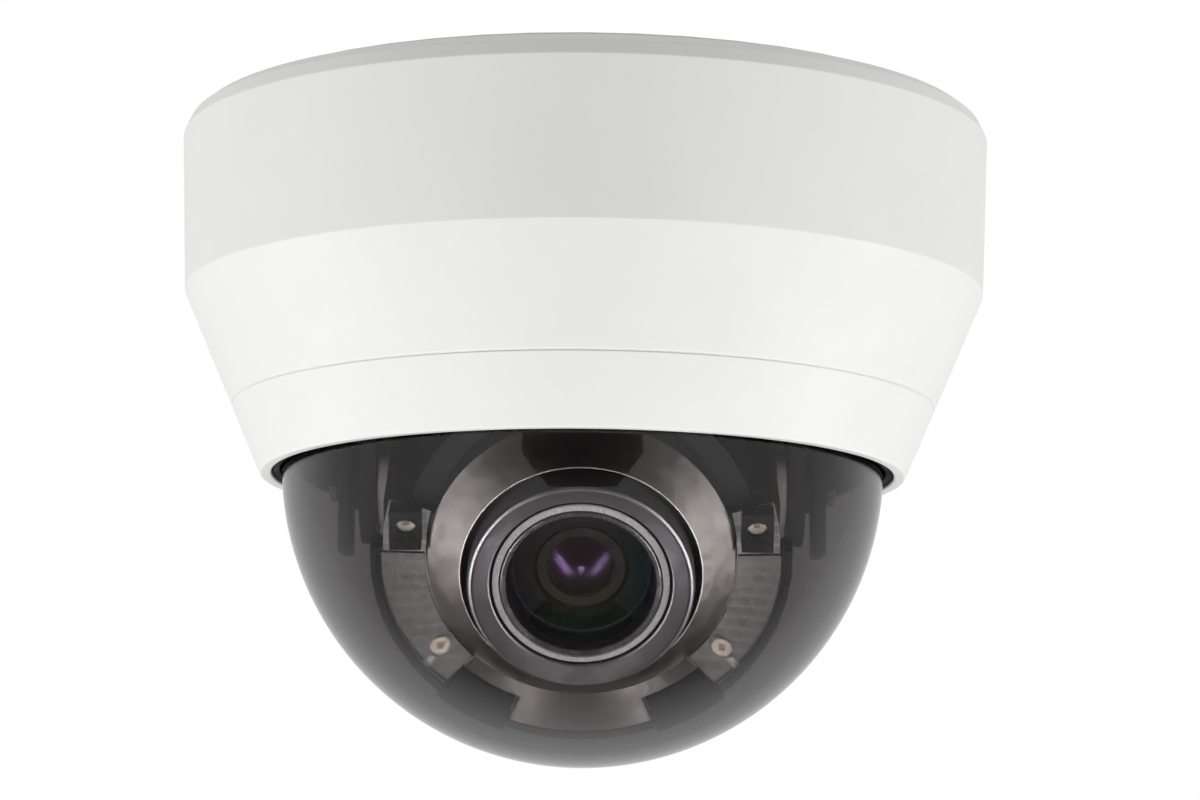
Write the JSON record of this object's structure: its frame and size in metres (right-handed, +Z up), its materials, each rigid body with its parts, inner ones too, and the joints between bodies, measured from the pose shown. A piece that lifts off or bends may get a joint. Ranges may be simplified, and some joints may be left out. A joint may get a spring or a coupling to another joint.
{
  "type": "dome security camera",
  "caption": "Ceiling dome security camera: white tapered cover with a smoked dome, over a pan, tilt and rotate varifocal camera head with an infrared ring.",
  "frame": {"origin": "centre of the flat ceiling mounting face", "axes": "+Z up into the ceiling, -Z down towards the dome's tip, -Y the way the lens looks at rest, +X to the right of the pictured view"},
  "size_m": [0.12, 0.12, 0.0971],
  "materials": {
    "white_cover": "satin white moulded ABS",
    "smoked_dome": "smoked clear polycarbonate, polished",
    "black_rubber": "matt soft black",
    "black_plastic": "fine-textured black",
    "grey_plastic": "matt charcoal",
    "bronze_face": "satin warm grey metallic",
    "zinc_plate": "zinc-plated pressed steel",
    "screw_steel": "bright machine screw",
    "heat_sink_metal": "extruded, clear anodised",
    "green_board": "solder-masked glass-fibre board",
    "black_board": "black solder-masked board",
    "coated_glass": "multi-coated optical glass",
    "clear_panel": "infrared-clear window",
    "led_epoxy": "clear epoxy lens over a light die",
    "foam": "closed-cell black foam",
    "chip_black": "moulded epoxy package",
    "terminal_green": "green moulded terminal",
    "nylon": "natural nylon",
    "button_grey": "moulded grey",
    "filter_glass": "infrared-cut filter glass",
    "sensor_glass": "sensor cover glass over the die",
    "ribbon_white": "flat flexible cable",
    "white_plastic": "white moulded ABS"
  },
  "bodies": {
    "base": {"mounting_base": "white_plastic", "main_board": "green_board", "network_jack": "screw_steel", "power_terminal": "terminal_green", "processor": "chip_black", "heat_sink": "heat_sink_metal", "card_socket": "screw_steel", "reset_switch": "chip_black", "ribbon_connector": "grey_plastic", "chassis_plate": "zinc_plate", "chassis_screw_1": "screw_steel", "chassis_screw_2": "screw_steel", "chassis_screw_3": "screw_steel", "pan_nut": "grey_plastic", "pan_friction_washer": "nylon"},
    "reset_key": {"reset_button": "button_grey"},
    "turntable": {"pan_turntable": "black_plastic", "tilt_yoke": "black_plastic", "yoke_screw_left": "screw_steel", "yoke_screw_right": "screw_steel", "tilt_clamp_left": "black_plastic", "tilt_clamp_right": "black_plastic", "tilt_screw_left": "screw_steel", "tilt_screw_right": "screw_steel", "tilt_washer_left": "nylon", "tilt_washer_right": "nylon", "ribbon_cable": "ribbon_white"},
    "head": {"camera_frame": "black_plastic", "led_board": "black_board", "led_housing": "black_plastic", "front_face": "bronze_face", "led_window_left": "clear_panel", "led_window_right": "clear_panel", "ir_led_1": "led_epoxy", "ir_led_2": "led_epoxy", "ir_led_3": "led_epoxy", "ir_led_4": "led_epoxy", "led_holder_left": "black_plastic", "led_holder_right": "black_plastic", "seal_pad_left": "foam", "seal_pad_right": "foam", "rotor_retainer": "grey_plastic"},
    "lens_unit": {"lens_barrel": "black_plastic", "lens_hood": "grey_plastic", "sensor_board": "green_board", "image_sensor": "sensor_glass", "filter_housing": "black_plastic", "sensor_connector": "white_plastic"},
    "filter": {"ir_filter": "filter_glass"},
    "zoom_turner": {"zoom_ring": "black_plastic"},
    "focus_turner": {"focus_ring": "black_plastic"},
    "focus_group": {"rear_lens_cell": "black_plastic", "rear_lens": "coated_glass"},
    "zoom_group": {"front_lens_cell": "black_plastic", "front_lens": "coated_glass"},
    "cover": {"dome_cover": "white_cover", "trim_ring": "white_cover", "dome_bubble": "smoked_dome", "dome_gasket": "black_rubber", "dome_retainer": "grey_plastic"}
  },
  "joints": [
    {"name": "cover_pull", "type": "slide", "parent": "base", "child": "cover", "axis": [0, 0, -1], "range_m": [0, 0.11]},
    {"name": "pan", "type": "hinge", "parent": "base", "child": "turntable", "pos_m": [0, 0, -0.0286], "axis": [0, 0, 1], "range_deg": [-175, 175]},
    {"name": "tilt", "type": "hinge", "parent": "turntable", "child": "head", "pos_m": [0, 0, -0.05609], "axis": [1, 0, 0], "range_deg": [-12, 55], "deforming": ["ribbon_cable"]},
    {"name": "lens_rotate", "type": "hinge", "parent": "head", "child": "lens_unit", "pos_m": [0, 0, -0.05609], "axis": [0, -0.8192, -0.5736], "range_deg": [-175, 175]},
    {"name": "filter_shift", "type": "slide", "parent": "lens_unit", "child": "filter", "axis": [0, -0.5736, 0.8192], "range_m": [0, 0.007]},
    {"name": "zoom_turn", "type": "hinge", "parent": "lens_unit", "child": "zoom_turner", "pos_m": [0, 0, -0.05609], "axis": [0, -0.8192, -0.5736], "range_deg": [-35, 35]},
    {"name": "zoom_shift", "type": "slide", "parent": "lens_unit", "child": "zoom_group", "axis": [0, -0.8192, -0.5736], "range_m": [-0.001, 0.001]},
    {"name": "focus_turn", "type": "hinge", "parent": "lens_unit", "child": "focus_turner", "pos_m": [0, 0, -0.05609], "axis": [0, -0.8192, -0.5736], "range_deg": [-35, 35]},
    {"name": "focus_shift", "type": "slide", "parent": "lens_unit", "child": "focus_group", "axis": [0, -0.8192, -0.5736], "range_m": [-0.0008, 0.0008]},
    {"name": "reset_press", "type": "slide", "parent": "base", "child": "reset_key", "axis": [0, 0, 1], "range_m": [0, 0.0008], "stiffness_N_per_m": 1000}
  ],
  "couplings": [
    {"joint": "zoom_shift", "follows": "zoom_turn", "m_per_rad": 0.0016207},
    {"joint": "focus_shift", "follows": "focus_turn", "m_per_rad": 0.0012932}
  ]
}
